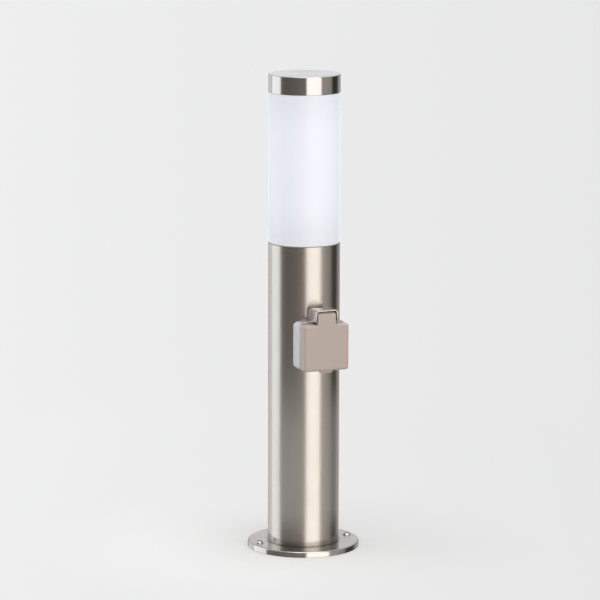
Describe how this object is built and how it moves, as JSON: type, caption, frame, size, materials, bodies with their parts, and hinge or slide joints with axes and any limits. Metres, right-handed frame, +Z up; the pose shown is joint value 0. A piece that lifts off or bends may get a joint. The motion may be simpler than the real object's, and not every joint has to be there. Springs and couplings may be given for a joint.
{
  "type": "garden socket post",
  "caption": "Round steel garden post light with an opal lamp cover, a steel cap, a screwed base flange and an earthed socket behind a sprung, hinged flap.",
  "frame": {"origin": "on the ground at the post's axis, in the middle of the ground anchor holes", "axes": "+Z up along the post, -Y the way the socket faces, +X to the right of the socket"},
  "size_m": [0.119, 0.1247, 0.5078],
  "materials": {
    "post_steel": "stainless steel, brushed round the tube",
    "cap_steel": "stainless steel, finely brushed",
    "screw_steel": "bright stainless screws and hinge pin",
    "zinc_sheet": "zinc-plated sheet",
    "brass": "plain turned and pressed brass",
    "opal_cover": "opal white, satin",
    "bulb_white": "frosted white",
    "holder_white": "white insulating body",
    "seal_rubber": "soft dark rubber",
    "flap_plastic": "satin, warm silver-grey moulded plastic",
    "box_plastic": "satin, light cool grey moulded plastic",
    "insert_plastic": "dark grey moulded plastic",
    "live_brown": "brown wire insulation",
    "neutral_blue": "blue wire insulation",
    "earth_green": "green and yellow wire insulation"
  },
  "bodies": {
    "post": {"post_tube": "post_steel", "base_flange": "post_steel", "top_cap": "cap_steel", "base_screws": "screw_steel", "socket_screws": "screw_steel", "insert_screw": "screw_steel", "bracket_screws": "screw_steel", "hinge_pin": "screw_steel", "lid_spring": "screw_steel", "ground_bracket": "zinc_sheet", "terminal_bracket": "zinc_sheet", "lampholder_plate": "zinc_sheet", "bulb_screw_cap": "zinc_sheet", "holder_nipple": "brass", "nipple_nut": "brass", "terminal_screws": "brass", "contact_screws": "brass", "pin_contacts": "brass", "earth_clip": "brass", "lamp_cover": "opal_cover", "bulb_body": "bulb_white", "bulb_globe": "bulb_white", "lampholder": "holder_white", "terminal_block": "holder_white", "contact_base": "holder_white", "seam_gasket": "seal_rubber", "cap_gasket": "seal_rubber", "saddle_gasket": "seal_rubber", "socket_flange": "flap_plastic", "socket_saddle": "box_plastic", "socket_insert": "insert_plastic", "cable_clamp": "insert_plastic", "live_wires": "live_brown", "neutral_wires": "neutral_blue", "earth_wires": "earth_green"},
    "lid": {"lid": "flap_plastic", "lid_seal": "seal_rubber"}
  },
  "joints": [
    {"name": "lid_hinge", "type": "hinge", "parent": "post", "child": "lid", "pos_m": [0, -0.0598, 0.2595], "axis": [-1, 0, 0], "range_deg": [0, 95], "stiffness_Nm_per_rad": 0.02, "springref_deg": -34.38, "deforming": ["lid_spring"]}
  ]
}
